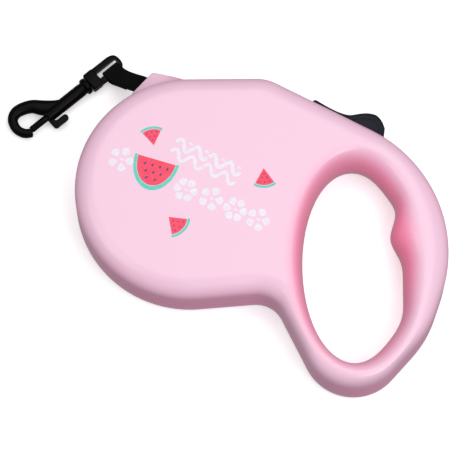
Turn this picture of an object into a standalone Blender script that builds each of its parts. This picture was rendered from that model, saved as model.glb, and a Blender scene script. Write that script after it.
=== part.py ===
"""Retractable tape leash: a pink hand case with a reel inside, a thumb brake and a bolt hook.

Metres, +Z up. The case lies on Z = 0 with the reel axis on X = Y = 0. +X runs from the
reel to the hand grip, and +Y is the side of the thumb button.
"""
import math

import bmesh
import bpy
import numpy as np
from mathutils import Matrix, Vector

MM = 0.001
GAP = 0.3 * MM
WELD = 0.002 * MM

# Case: the outline is a belt run round circles (x, y, radius), a hollow bend being negative.
CASE_CIRCLES = np.array(
    [
        (0.0, 0.0, 54.0),
        (57.5, -43.5, -13.5),
        (101.0, -29.0, 23.9),
        (78.0, -7.5, 51.5),
        (62.0, -1.5, 66.4),
        (12.0, 44.9, 20.0),
    ]
) * MM
HALF_THICKNESS = 15.5 * MM
EDGE_FILLET = 7.0 * MM
WALL = 2.2 * MM
STATIONS = 60
FILLET_STEPS = 3

# Hand opening: an ellipse with a finger bump, under a wider rim in the flat face.
GRIP_CENTRE = np.array([84.1, 3.4]) * MM
GRIP_LONG = np.array([-0.4617, 0.8870])
GRIP_SHORT = np.array([0.8870, 0.4617])
GRIP_HALF_LENGTH = 47.5 * MM
GRIP_HALF_WIDTH = 23.5 * MM
RIM_HALF_LENGTH = 55.0 * MM
RIM_HALF_WIDTH = 32.0 * MM
RIM_SHIFT = 2.5 * MM
# Swellings of the grip wall: place along the opening, spread, and how far outwards.
GRIP_SWELLINGS = np.array([(13.2, 8.5, -4.6), (-26.0, 12.0, 2.6), (29.0, 6.5, 1.4)]) * MM

# Spout and mouth, where the tape leaves.
MOUTH = np.array([-45.1, 37.7]) * MM
SPOUT_FACE_ANGLE = math.radians(165.4)
MOUTH_ANGLE = math.radians(186.0)
SPOUT_REACH = (6.1 * MM, -7.2 * MM)
SPOUT_HALF_HEIGHT = 6.2 * MM
SPOUT_LIP = np.array([(-42.3, 44.4), (-39.2, 45.3), (-33.6, 46.7), (-28.6, 47.7)]) * MM
SPOUT_ROOT_ANGLES = (math.radians(116.0), math.radians(151.0))

# Screws: x and y of each boss.
SCREW_PLACES = [(12.0, 57.0), (54.0, -22.0), (76.5, 56.5), (99.0, 43.5), (121.0, -18.0)]
SCREW_BOSS = 4.4 * MM
SCREW_HEAD = 2.8 * MM
SCREW_SHANK = 1.4 * MM

# Reel, on the Z axis.
AXLE = 4.0 * MM
HUB = 19.7 * MM
COIL_INNER = 20.0 * MM
COIL_OUTER = 44.8 * MM
FLANGE = 49.0 * MM
TOOTH_ROOT = 46.3 * MM
TOOTH_TIP = 49.8 * MM
TEETH = 24
TOOTH_GAP_ANGLE = math.radians(64.0)
CUP = 30.0 * MM
CUP_WALL = 1.6 * MM

# Tape: width and thickness, and the route of its middle line (x, y, z).
TAPE_WIDTH = 9.0 * MM
TAPE_THICKNESS = 1.0 * MM
MID = HALF_THICKNESS
TAPE_RUN = np.array(
    [
        (-9.38, 44.63, 15.5),
        (-17.2, 43.0, 15.5),
        (-25.0, 41.35, 15.5),
        (-32.2, 39.85, 15.5),
        (-38.7, 38.6, 15.5),
        (-45.08, 37.73, 15.5),
    ]
) * MM
# Outside the mouth it bends evenly towards the hook and comes down to the eye's side rail.
BEND_RADIUS = 36.6 * MM
BEND_LENGTH = 18.0 * MM
LOOP_RUN = 11.2 * MM
SEAM_STEP = 1.35 * MM
TWIST_START = 19.0 * MM
TWIST_END = 30.5 * MM

# Hook, in its own frame: h from the eye's far end to the crown, l to the knob's side.
HOOK_ORIGIN = np.array([-63.2, 47.6, 4.4]) * MM
HOOK_ALONG = np.array([-0.375, -0.927, 0.0]) / math.hypot(0.375, 0.927)
HOOK_SIDE = np.array([0.927, -0.375, 0.0]) / math.hypot(0.375, 0.927)
RAIL_L = 3.2 * MM
LOOP_H = 6.7 * MM
LOOP_RADIUS = 2.75 * MM
# Crown: h, l, half width and half height of sections along its curve.
CROWN = np.array(
    [
        (35.0, -1.2, 1.5, 2.3),
        (39.0, -2.2, 2.8, 2.5),
        (43.4, -4.6, 3.7, 2.7),
        (47.7, -9.1, 3.2, 2.8),
        (54.1, -11.4, 2.9, 2.8),
        (58.5, -9.8, 2.5, 2.7),
        (60.2, -5.2, 2.25, 2.6),
        (58.8, -0.9, 2.2, 2.5),
        (55.4, 1.6, 2.1, 2.3),
    ]
) * MM

# Thumb brake: the button's side view in X and Y, and its travel.
BUTTON = np.array(
    [
        (31.0, 61.2),
        (68.8, 61.2),
        (68.8, 65.6),
        (67.6, 68.4),
        (66.4, 70.4),
        (64.9, 71.7),
        (63.0, 73.0),
        (60.5, 73.7),
        (57.0, 72.6),
        (53.7, 70.6),
        (50.0, 67.9),
        (46.5, 66.9),
        (42.0, 66.5),
        (36.0, 66.8),
        (32.2, 67.2),
        (31.0, 66.4),
    ]
) * MM
BUTTON_HALF_DEPTH = 7.2 * MM
PAWL_PIVOT = (38.0, 47.0)


def finish(name, colour, roughness, metallic=0.0):
    material = bpy.data.materials.new(name)
    material.use_nodes = True
    shader = material.node_tree.nodes["Principled BSDF"]
    shader.inputs["Base Color"].default_value = (*colour, 1.0)
    shader.inputs["Roughness"].default_value = roughness
    shader.inputs["Metallic"].default_value = metallic
    return material


# ---------------------------------------------------------------- solids


def solid(name, vertices, faces, material):
    """One named mesh object whose faces all point outwards."""
    mesh = bpy.data.meshes.new(name)
    mesh.from_pydata([tuple(v) for v in vertices], [], faces)
    mesh.materials.append(material)
    work = bmesh.new()
    work.from_mesh(mesh)
    bmesh.ops.recalc_face_normals(work, faces=work.faces)
    work.to_mesh(mesh)
    work.free()
    item = bpy.data.objects.new(name, mesh)
    bpy.context.collection.objects.link(item)
    return item


def loft(name, rows, material, wrap=False):
    """A skin over rows of equally many points; each row is a loop. Wrapped rows close up."""
    rows = np.asarray(rows)
    count, around = rows.shape[:2]
    faces = []
    for row in range(count if wrap else count - 1):
        below = row * around
        above = (row + 1) % count * around
        for k in range(around):
            nxt = (k + 1) % around
            faces.append((below + k, below + nxt, above + nxt, above + k))
    if not wrap:
        faces.append(tuple(range(around)))
        faces.append(tuple(range((count - 1) * around, count * around)))
    return solid(name, rows.reshape(-1, 3), faces, material)


def prism(name, outline, bottom, top, material):
    """An outline of x and y points, extruded along Z."""
    rows = [[(x, y, z) for x, y in outline] for z in (bottom, top)]
    return loft(name, rows, material)


def box(name, low, high, material):
    corners = [(low[0], low[1]), (high[0], low[1]), (high[0], high[1]), (low[0], high[1])]
    return prism(name, corners, low[2], high[2], material)


def disc(name, centre, radius, bottom, top, material, sides=20):
    angles = [2 * math.pi * k / sides for k in range(sides)]
    outline = [(centre[0] + radius * math.cos(a), centre[1] + radius * math.sin(a)) for a in angles]
    return prism(name, outline, bottom, top, material)


def turned(name, profile, material, sides=40):
    """A closed profile of radius and height points, turned about Z."""
    rows = []
    for radius, height in profile:
        angles = [2 * math.pi * k / sides for k in range(sides)]
        rows.append([(radius * math.cos(a), radius * math.sin(a), height) for a in angles])
    return loft(name, rows, material, wrap=True)


def settle(item):
    """Bake the modifiers into the mesh, without doubled points."""
    bpy.context.view_layer.update()
    graph = bpy.context.evaluated_depsgraph_get()
    mesh = bpy.data.meshes.new_from_object(item.evaluated_get(graph))
    item.modifiers.clear()
    item.data = mesh
    work = bmesh.new()
    work.from_mesh(mesh)
    bmesh.ops.remove_doubles(work, verts=work.verts, dist=WELD)
    bmesh.ops.dissolve_degenerate(work, edges=work.edges, dist=WELD)
    work.to_mesh(mesh)
    work.free()
    return item


def combine(item, tools, operation):
    """Boolean with each tool in turn; the tools are used up."""
    for tool in tools:
        modifier = item.modifiers.new(tool.name, "BOOLEAN")
        modifier.operation = operation
        modifier.solver = "EXACT"
        modifier.object = tool
        settle(item)
        bpy.data.objects.remove(tool)
    return item


def bevelled(item, width, segments=2, angle=30.0):
    bevel = item.modifiers.new("edges", "BEVEL")
    bevel.width = width
    bevel.segments = segments
    bevel.limit_method = "ANGLE"
    bevel.angle_limit = math.radians(angle)
    return settle(item)


def smooth(item, angle=35.0):
    item.data.shade_smooth()
    item.data.set_sharp_from_angle(angle=math.radians(angle))
    return item


def place(item, matrix):
    """Put a piece built in its own frame where it belongs, in its mesh."""
    item.data.transform(matrix)
    item.data.update()
    return item


# ---------------------------------------------------------------- curves


def smooth_curve(points, count):
    """A uniform Catmull-Rom curve through the points, sampled count times."""
    points = np.asarray(points)
    ends = np.vstack([2 * points[0] - points[1], points, 2 * points[-1] - points[-2]])
    spans = len(points) - 1
    along = np.linspace(0.0, spans, count)
    piece = np.minimum(along.astype(int), spans - 1)
    t = (along - piece)[:, None]
    a, b, c, d = (ends[piece + k] for k in range(4))
    return 0.5 * (
        2 * b + (c - a) * t + (2 * a - 5 * b + 4 * c - d) * t**2 + (3 * b - a - 3 * c + d) * t**3
    )


def unit(vectors):
    return vectors / np.linalg.norm(vectors, axis=-1, keepdims=True)


def belt(circles, arc_step=math.radians(2.0)):
    """Points and inward normals of an anticlockwise belt round signed circles."""
    headings = []
    for here, there in zip(circles, np.roll(circles, -1, axis=0)):
        gap = there[:2] - here[:2]
        lean = math.asin((here[2] - there[2]) / np.hypot(*gap))
        headings.append(math.atan2(gap[1], gap[0]) + lean)
    points, normals = [], []
    for k, (x, y, radius) in enumerate(circles):
        turn = math.copysign(1.0, radius)
        sweep = turn * ((headings[k] - headings[k - 1]) * turn % (2 * math.pi))
        steps = max(3, int(abs(sweep) / arc_step))
        for heading in np.linspace(headings[k - 1], headings[k - 1] + sweep, steps):
            normal = np.array([-math.sin(heading), math.cos(heading)])
            points.append(np.array([x, y]) - radius * normal)
            normals.append(normal)
    return np.array(points), np.array(normals)


def grip_wall(angle):
    """The opening's wall at mid thickness; the angle runs from its lower end past the grip."""
    along = -GRIP_HALF_LENGTH * np.cos(angle)
    across = GRIP_HALF_WIDTH * np.sin(angle)
    side = np.clip(np.sin(angle) * 2.5, 0.0, 1.0)
    for place_along, spread, height in GRIP_SWELLINGS:
        across = across + side * height * np.exp(-(((along - place_along) / spread) ** 2))
    return GRIP_CENTRE + along[:, None] * GRIP_LONG + across[:, None] * GRIP_SHORT


def grip_rim(angle):
    """The opening's rim in the flat face, at the same angles."""
    along = -RIM_HALF_LENGTH * np.cos(angle)
    across = RIM_SHIFT + RIM_HALF_WIDTH * np.sin(angle)
    return GRIP_CENTRE + along[:, None] * GRIP_LONG + across[:, None] * GRIP_SHORT


def case_stations(count):
    """Matching points round the outline and the hand opening, closest together at bends.

    Round the hand ring an outline point faces the nearest rim point. Round the reel the
    outline fans evenly over the opening's reel side.
    """
    points, normals = belt(CASE_CIRCLES)
    closed = np.vstack([points, points[:1]])
    lengths = np.r_[0.0, np.cumsum(np.linalg.norm(np.diff(closed, axis=0), axis=1))]
    total = lengths[-1]
    fine = np.linspace(0.0, total, 1601)[:-1]
    outline = np.column_stack([np.interp(fine, lengths, closed[:, k]) for k in range(2)])

    ring_angles = np.radians(np.arange(-104.0, 203.0, 2.0))
    rim = grip_rim(ring_angles)
    nearest = np.argmin(np.linalg.norm(rim[:, None] - outline[None], axis=2), axis=1)
    places = np.unwrap(fine[nearest], period=total)
    fan_places = np.r_[places, places[0] + total]
    fan_angles = np.r_[ring_angles, ring_angles[0] + 2 * math.pi]

    start = places[0]
    run = start + np.linspace(0.0, total, 1601)
    angles = np.interp(run, fan_places, fan_angles)
    wrapped = np.mod(run, total)
    outline = np.column_stack([np.interp(wrapped, lengths, closed[:, k]) for k in range(2)])
    turns_out = np.abs(np.diff(np.unwrap(np.arctan2(*np.gradient(outline, axis=0).T))))
    wall = grip_wall(angles)
    turns_in = np.abs(np.diff(np.unwrap(np.arctan2(*np.gradient(wall, axis=0).T))))
    measure = np.r_[0.0, np.cumsum(2.0 / 1600 + turns_out / 6.3 + turns_in / 6.3)]
    chosen = np.interp(np.linspace(0.0, measure[-1], count + 1)[:-1], measure, run)

    wrapped = np.mod(chosen, total)
    closed_normals = np.vstack([normals, normals[:1]])
    outer = np.column_stack([np.interp(wrapped, lengths, closed[:, k]) for k in range(2)])
    inward = unit(np.column_stack([np.interp(wrapped, lengths, closed_normals[:, k]) for k in range(2)]))
    angle = np.interp(chosen, fan_places, fan_angles)
    return outer, inward, grip_wall(angle), grip_rim(angle)


def case_rows(start, shrink):
    """Rows of plan points and heights over the mid plane: up the outer wall, over the
    fillet, across the flat face and down a quarter ellipse into the opening.
    """
    outer, inward, wall, rim = case_stations(STATIONS)
    reach = np.linalg.norm(rim - outer, axis=1, keepdims=True)
    fillet = np.minimum(EDGE_FILLET, 0.92 * reach)
    wall = wall + shrink * unit(rim - wall)
    shoulder = HALF_THICKNESS - EDGE_FILLET
    top = HALF_THICKNESS - shrink
    rows = [(outer + shrink * inward, start)]
    for angle in np.linspace(0.0, math.pi / 2, FILLET_STEPS + 1):
        offset = fillet - (fillet - shrink) * math.cos(angle)
        rows.append((outer + offset * inward, shoulder + (EDGE_FILLET - shrink) * math.sin(angle)))
    for angle in np.linspace(math.pi / 2, 0.0, FILLET_STEPS + 1):
        plan = wall + (rim - wall) * (1 - math.cos(angle))
        rows.append((plan, start + (top - start) * math.sin(angle)))
    return rows


def case_solid(name, side, start, shrink, material):
    """The case's blank or its cavity, on one side of the mid plane (side is +1 or -1)."""
    rows = []
    for plan, height in case_rows(start, shrink):
        z = np.full((len(plan), 1), MID + side * height)
        rows.append(np.hstack([plan, z]))
    return loft(name, rows, material, wrap=True)


# ---------------------------------------------------------------- case


def direction(angle):
    return np.array([math.cos(angle), math.sin(angle)])


def oriented_box(name, centre, angle, along, half_width, low, high, material):
    """A box that runs along an angle in plan, from along[0] to along[1] past its centre."""
    forward = direction(angle)
    left = direction(angle + math.pi / 2)
    corners = [centre + forward * f + left * w for f, w in (
        (along[0], -half_width), (along[1], -half_width), (along[1], half_width), (along[0], half_width))]
    return prism(name, corners, low, high, material)


def spout(name, low, high, material):
    """The lip round the tape's mouth, from the disc wall outwards."""
    up_face = direction(SPOUT_FACE_ANGLE - math.pi / 2)
    upper, lower = (MOUTH + reach * up_face for reach in SPOUT_REACH)
    root = CASE_CIRCLES[0][2] - 1.6 * MM
    angles = np.linspace(SPOUT_ROOT_ANGLES[0], SPOUT_ROOT_ANGLES[1], 7)
    outline = [root * direction(a) for a in angles]
    outline += [lower] + [upper] + list(SPOUT_LIP)
    return prism(name, outline, low, high, material)


def mouth_cutters(material):
    """Chamber where the tape twists, pocket of the bush, and slot through the lip."""
    chamber = oriented_box("chamber", MOUTH, math.radians(190.0), (-16 * MM, -8.6 * MM),
                           5.2 * MM, MID - 5.4 * MM, MID + 5.4 * MM, material)
    throat = oriented_box("throat", MOUTH, math.radians(189.0), (-9 * MM, -5.6 * MM),
                          5.1 * MM, MID - 3.6 * MM, MID + 3.6 * MM, material)
    pocket = oriented_box("pocket", MOUTH, MOUTH_ANGLE, (-6.4 * MM, -2.6 * MM),
                          5.55 * MM, MID - 2.2 * MM, MID + 2.2 * MM, material)
    slot = oriented_box("slot", MOUTH, MOUTH_ANGLE, (-4 * MM, 6 * MM),
                        4.8 * MM, MID - 1.2 * MM, MID + 1.2 * MM, material)
    return [chamber, throat, pocket, slot]


def button_cutter(material):
    low = (27.4 * MM, 60.0 * MM, MID - BUTTON_HALF_DEPTH - GAP)
    high = (69.2 * MM, 67.0 * MM, MID + BUTTON_HALF_DEPTH + GAP)
    return box("button_slot", low, high, material)


def make_shell(name, side, material):
    """One half of the case: a blank less a cavity, with bosses left standing."""
    parting = GAP / 2
    blank = case_solid(name, side, parting, 0.0, material)
    faces = sorted((MID + side * parting, MID + side * SPOUT_HALF_HEIGHT))
    combine(blank, [spout("spout", faces[0], faces[1], material)], "UNION")

    cavity = case_solid("cavity", side, -1.0 * MM, WALL, material)
    low, high = (-1 * MM, MID - parting) if side < 0 else (MID + parting, 2 * MID + 1 * MM)
    bosses = [disc("boss", (x * MM, y * MM), SCREW_BOSS, low, high, material) for x, y in SCREW_PLACES]
    pawl_boss = (low, 18.7 * MM) if side < 0 else (23.7 * MM, high)
    pivot = (PAWL_PIVOT[0] * MM, PAWL_PIVOT[1] * MM)
    if side < 0:
        pawl_boss = (low, MID - parting)
        bosses.append(disc("axle_boss", (0, 0), 8 * MM, low, 2.6 * MM, material))
        shelf_low = (41 * MM, 35.6 * MM, low)
        bosses.append(box("spring_shelf", shelf_low, (51 * MM, 39.7 * MM, 20 * MM), material))
    else:
        bosses.append(disc("axle_boss", (0, 0), 8 * MM, 24.1 * MM, high, material))
    bosses.append(disc("pawl_boss", pivot, 3 * MM, pawl_boss[0], pawl_boss[1], material, 16))
    combine(cavity, bosses, "DIFFERENCE")
    combine(blank, [cavity], "DIFFERENCE")

    cutters = mouth_cutters(material) + [button_cutter(material)]
    for x, y in SCREW_PLACES:
        centre = (x * MM, y * MM)
        if side < 0:
            cutters.append(disc("counterbore", centre, SCREW_HEAD + GAP, -2 * MM, 7.5 * MM, material, 16))
            cutters.append(disc("clearance", centre, SCREW_SHANK + GAP, 7 * MM, MID + 1 * MM, material, 12))
        else:
            cutters.append(disc("pilot", centre, SCREW_SHANK + GAP, MID - 1 * MM, 25.5 * MM, material, 12))
    bore = (1.0 * MM, 3.0 * MM) if side < 0 else (23.0 * MM, 27.2 * MM)
    cutters.append(disc("axle_bore", (0, 0), AXLE + GAP, bore[0], bore[1], material, 24))
    pin = (9.7 * MM, MID + 1 * MM) if side < 0 else (MID - 1 * MM, 27.3 * MM)
    cutters.append(disc("pin_bore", pivot, 1.5 * MM, pin[0], pin[1], material, 12))
    combine(blank, cutters, "DIFFERENCE")
    return smooth(blank)


def make_screws(material):
    for number, (x, y) in enumerate(SCREW_PLACES, start=1):
        name = f"case_screw_{number}"
        profile_top = 24.5 * MM
        screw = disc(name, (x * MM, y * MM), SCREW_HEAD, 4.6 * MM, 7.2 * MM, material, 16)
        shank = disc("shank", (x * MM, y * MM), SCREW_SHANK, 6.5 * MM, profile_top, material, 12)
        combine(screw, [shank], "UNION")
        low = ((x - 2.0) * MM, (y - 0.4) * MM, 4.0 * MM)
        high = ((x + 2.0) * MM, (y + 0.4) * MM, 5.6 * MM)
        combine(screw, [box("drive_slot", low, high, material)], "DIFFERENCE")
        smooth(screw)


# ---------------------------------------------------------------- reel


def make_axle(material):
    """Steel post with a slot across it for the spring's inner end."""
    post = disc("axle_post", (0, 0), AXLE, 1.3 * MM, 26.9 * MM, material, 24)
    slot = box("slot", (-0.5 * MM, -6 * MM, 5.0 * MM), (0.5 * MM, 0.0, 9.2 * MM), material)
    return smooth(combine(post, [slot], "DIFFERENCE"))


def make_washer(name, bottom, top, material):
    inner = AXLE + GAP
    outer = 7.5 * MM
    profile = [(inner, bottom), (outer, bottom), (outer, top), (inner, top)]
    return smooth(turned(name, profile, material, 24))


def make_reel(material):
    """Hub, flanges and spring cup turned in one piece, with brake teeth round one flange."""
    bore = AXLE + GAP
    profile = [
        (bore, 9.4), (CUP, 9.4), (CUP, 4.7), (CUP + CUP_WALL, 4.7), (CUP + CUP_WALL, 9.4),
        (FLANGE, 9.4), (FLANGE, 10.7), (HUB, 10.7), (HUB, 20.3), (TOOTH_ROOT, 20.3),
        (TOOTH_ROOT, 22.3), (HUB - 2.2 * MM, 22.3), (HUB - 2.2 * MM, 12.0), (8.0 * MM, 12.0),
        (8.0 * MM, 22.9), (bore, 22.9),
    ]
    reel = turned("reel_drum", [(r, z * MM) for r, z in profile], material)
    pitch = 2 * math.pi / TEETH
    ring = []
    for tooth in range(TEETH):
        middle = TOOTH_GAP_ANGLE + (tooth + 0.5) * pitch
        for offset, radius in ((-0.24, TOOTH_ROOT - 0.4 * MM), (-0.15, TOOTH_TIP), (0.15, TOOTH_TIP),
                               (0.24, TOOTH_ROOT - 0.4 * MM)):
            ring.append(radius * direction(middle + offset * pitch))
    teeth = prism("teeth", ring, 20.6 * MM, 22.0 * MM, material)
    middle_hole = disc("middle", (0, 0), 40 * MM, 20 * MM, 23 * MM, material, 24)
    combine(teeth, [middle_hole], "DIFFERENCE")
    combine(reel, [teeth], "UNION")
    return smooth(reel)


def make_spring_cover(material):
    bore = AXLE + GAP
    edge = CUP + CUP_WALL
    profile = [(bore, 3.6 * MM), (edge, 3.6 * MM), (edge, 4.4 * MM), (bore, 4.4 * MM)]
    return smooth(turned("spring_cover", profile, material))


def make_power_spring(material):
    """A flat spring wound in a spiral between the axle post and the cup's wall."""
    turns = 5
    per_turn = 14
    strip = 0.4 * MM
    angles = np.linspace(0.0, 2 * math.pi * turns, turns * per_turn + 1)
    radii = np.linspace(AXLE + 1.0 * MM, CUP - 1.0 * MM, len(angles))
    rows = []
    for radius, angle in zip(radii, angles):
        inner = (radius - strip / 2) * direction(angle)
        outer = (radius + strip / 2) * direction(angle)
        rows.append([(*inner, 5.0 * MM), (*outer, 5.0 * MM), (*outer, 9.1 * MM), (*inner, 9.1 * MM)])
    return loft("power_spring", rows, material)


def make_coil(material):
    low, high = MID - TAPE_WIDTH / 2, MID + TAPE_WIDTH / 2
    profile = [(COIL_INNER, low), (COIL_OUTER, low), (COIL_OUTER, high), (COIL_INNER, high)]
    return smooth(turned("wound_leash", profile, material, 48))


# ---------------------------------------------------------------- tape


def hook_point(h, l, z=0.0):
    """A place in the hook's own frame as a place in the world."""
    return HOOK_ORIGIN + h * HOOK_ALONG + l * HOOK_SIDE + np.array([0, 0, z])


def ribbon(name, centre, widths, material):
    """A flat strip: a rectangle carried along the middle line, wide along the given vectors."""
    tangent = unit(np.gradient(centre, axis=0))
    across = unit(widths - (widths * tangent).sum(axis=1, keepdims=True) * tangent)
    up = np.cross(tangent, across)
    w, t = TAPE_WIDTH / 2 * across, TAPE_THICKNESS / 2 * up
    rows = np.stack([centre - w - t, centre + w - t, centre + w + t, centre - w + t], axis=1)
    return loft(name, rows, material)


def ease(share):
    share = np.clip(share, 0.0, 1.0)
    return share * share * (3 - 2 * share)


def approach(distance, under=False):
    """Middle line and width vectors at distances before the side rail, on an even bend.

    The upper layer falls smoothly from the mouth to the top of the rail. The lower layer
    starts beneath the rail and closes up to the upper one.
    """
    start = hook_point(LOOP_H, RAIL_L)
    heading = math.atan2(-HOOK_SIDE[1], -HOOK_SIDE[0]) + distance / BEND_RADIUS
    sideways = np.column_stack([np.sin(heading), -np.cos(heading), np.zeros(len(distance))])
    middle = start - BEND_RADIUS * HOOK_ALONG
    points = middle - BEND_RADIUS * sideways
    low = start[2] + LOOP_RADIUS
    points[:, 2] = low + (MID - low) * ease(distance / BEND_LENGTH)
    if under:
        points[:, 2] -= SEAM_STEP + (2 * LOOP_RADIUS - SEAM_STEP) * (1 - ease(distance / (8.5 * MM)))
    return points, sideways


def make_tape(material):
    """The straight run: upright as it leaves the coil, a quarter twist, flat at the mouth."""
    inside = smooth_curve(TAPE_RUN, 26)
    outside, outside_widths = approach(np.linspace(BEND_LENGTH, LOOP_RUN + GAP * 1.2, 8)[1:])
    run = np.r_[0.0, np.cumsum(np.linalg.norm(np.diff(inside, axis=0), axis=1))]
    tangent = unit(np.gradient(inside, axis=0))
    flat = unit(np.column_stack([tangent[:, 1], -tangent[:, 0], np.zeros(len(inside))]))
    turn = (ease((run - TWIST_START) / (TWIST_END - TWIST_START)) * math.pi / 2)[:, None]
    widths = np.cos(turn) * np.array([0, 0, 1.0]) + np.sin(turn) * flat
    centre = np.vstack([inside, outside])
    return ribbon("leash_tape", centre, np.vstack([widths, outside_widths]), material)


def make_loop(material):
    """The end of the tape: over the eye's side rail, round it, and back underneath."""
    upper, upper_widths = approach(np.linspace(LOOP_RUN, 0.0, 12))
    lower, lower_widths = approach(np.linspace(0.0, LOOP_RUN, 12), under=True)
    turn = np.array([hook_point(LOOP_H, RAIL_L - LOOP_RADIUS * math.sin(a), LOOP_RADIUS * math.cos(a))
                     for a in np.linspace(0.0, math.pi, 11)[1:-1]])
    turn_widths = np.tile(-HOOK_ALONG, (len(turn), 1))
    centre = np.vstack([upper, turn, lower])
    return ribbon("leash_loop", centre, np.vstack([upper_widths, turn_widths, lower_widths]), material)


def make_bush(material):
    bush = oriented_box("mouth_bush", MOUTH, MOUTH_ANGLE, (-6.1 * MM, -2.9 * MM),
                        5.25 * MM, MID - 1.9 * MM, MID + 1.9 * MM, material)
    bore = oriented_box("bore", MOUTH, MOUTH_ANGLE, (-8 * MM, 0.0),
                        4.8 * MM, MID - 1.1 * MM, MID + 1.1 * MM, material)
    return combine(bush, [bore], "DIFFERENCE")


# ---------------------------------------------------------------- brake


def make_button(material):
    """Thumb button with a tongue that slides in the carrier's pocket."""
    button = prism("thumb_button", BUTTON, MID - BUTTON_HALF_DEPTH, MID + BUTTON_HALF_DEPTH, material)
    bevelled(button, 0.7 * MM, angle=50.0)
    tongue = box("tongue", (40 * MM, 58.6 * MM, 13 * MM), (58 * MM, 62.5 * MM, 18 * MM), material)
    return smooth(combine(button, [tongue], "UNION"))


def make_carrier(material):
    """Slider under the button, with a nose whose foot presses on the pawl."""
    carrier = box("brake_carrier", (33 * MM, 55 * MM, 9.5 * MM), (66 * MM, 60.9 * MM, 21.5 * MM), material)
    nose = box("nose", (21 * MM, 56 * MM, 17.5 * MM), (34 * MM, 59.5 * MM, 21.2 * MM), material)
    foot = box("foot", (21.1 * MM, 50.9 * MM, 17.6 * MM), (24.6 * MM, 57 * MM, 21.1 * MM), material)
    combine(carrier, [nose, foot], "UNION")
    pocket = box("pocket", (36.6 * MM, 58.2 * MM, 12.7 * MM), (58.4 * MM, 62 * MM, 18.3 * MM), material)
    return combine(carrier, [pocket], "DIFFERENCE")


def make_pawl(material):
    """Lever on its pin, with a tooth that drops between the reel's teeth."""
    x, y = PAWL_PIVOT
    arc = [(x + 3 * math.cos(a), y + 3 * math.sin(a)) for a in np.radians(np.linspace(-80, 90, 8))]
    outline = arc + [(22.0, 50.6), (20.0, 49.8), (19.6, 46.9), (21.4, 46.5), (24.0, 48.0)]
    pawl = prism("brake_pawl", np.array(outline) * MM, 19.0 * MM, 23.4 * MM, material)
    bore = disc("bore", (x * MM, y * MM), 1.5 * MM, 18 * MM, 25 * MM, material, 12)
    return smooth(combine(pawl, [bore], "DIFFERENCE"))


def make_pawl_pin(material):
    x, y = PAWL_PIVOT
    return smooth(disc("pawl_pin", (x * MM, y * MM), 1.2 * MM, 10 * MM, 27 * MM, material, 12))


def helix(name, matrix, radius, wire, length, turns, material, per_turn=10, sides=4):
    """A coil spring along +Z of its own frame, put in place by a matrix."""
    angles = np.linspace(0.0, 2 * math.pi * turns, turns * per_turn + 1)
    heights = np.linspace(wire, length - wire, len(angles))
    rows = []
    for angle, height in zip(angles, heights):
        outward = np.array([math.cos(angle), math.sin(angle), 0.0])
        middle = outward * radius + np.array([0, 0, height])
        loop = [2 * math.pi * k / sides for k in range(sides)]
        up = np.array([0, 0, 1.0])
        rows.append([middle + wire * (math.cos(a) * outward + math.sin(a) * up) for a in loop])
    return smooth(place(loft(name, rows, material), matrix))


# ---------------------------------------------------------------- hook


def hook_matrix():
    """Frame whose X runs along the hook, Y to the knob's side and Z up."""
    side, along = Vector(HOOK_SIDE), Vector(HOOK_ALONG)
    turn = Matrix((along, side, along.cross(side))).transposed().to_4x4()
    return Matrix.Translation(Vector(HOOK_ORIGIN)) @ turn


def lay_down(item):
    """Turn a piece made round Z so that its axis runs along X."""
    return place(item, Matrix(((0, 0, 1, 0), (1, 0, 0, 0), (0, 1, 0, 0), (0, 0, 0, 1))))


def bar(name, start, end, radius, material, sides=16):
    """A round bar along the hook's own X, from one h to another."""
    return lay_down(disc(name, (0, 0), radius * MM, start * MM, end * MM, material, sides))


def round_plate(name, h, l, half_thickness, material, edge=0.9):
    """A plate in the hook's own frame with softened edges."""
    low = (h[0] * MM, l[0] * MM, -half_thickness * MM)
    high = (h[1] * MM, l[1] * MM, half_thickness * MM)
    return bevelled(box(name, low, high, material), edge * MM)


def make_eye(material):
    """Slotted eye for the tape, with a headed shank that turns in the hook."""
    bend = [(3.6 * (1 + math.cos(a)), 1.1 + 3.6 * math.sin(a)) for a in np.radians((90, 120, 150, 180))]
    outline = [(19.2, -4.7)] + [(h, -l) for h, l in bend] + bend[::-1] + [(19.2, 4.7)]
    eye = prism("swivel_eye", np.array(outline) * MM, -1.5 * MM, 1.5 * MM, material)
    bevelled(eye, 0.9 * MM, angle=50.0)
    block = round_plate("block", (14.0, 19.4), (-4.6, 4.6), 2.9, material)
    shank = bar("shank", 18.5, 24.0, 1.5, material)
    head = bar("head", 23.7, 24.7, 2.1, material)
    combine(eye, [block, shank, head], "UNION")
    slot = box("slot", (1.9 * MM, -1.7 * MM, -4 * MM), (13.6 * MM, 1.7 * MM, 4 * MM), material)
    combine(eye, [slot], "DIFFERENCE")
    return smooth(place(eye, hook_matrix()))


def make_crown(material):
    """The curved hook: an oval section carried along its curve."""
    centre = smooth_curve(CROWN, 25)
    flat = centre[:, :2]
    heading = unit(np.gradient(flat, axis=0))
    left = np.column_stack([-heading[:, 1], heading[:, 0]])
    rows = []
    for middle, across, half_width, half_height in zip(flat, left, centre[:, 2], centre[:, 3]):
        angles = 2 * math.pi * np.arange(12) / 12
        plan = middle + (half_width * np.cos(angles))[:, None] * across
        rows.append(np.column_stack([plan, half_height * np.sin(angles)]))
    return loft("crown", rows, material)


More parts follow.
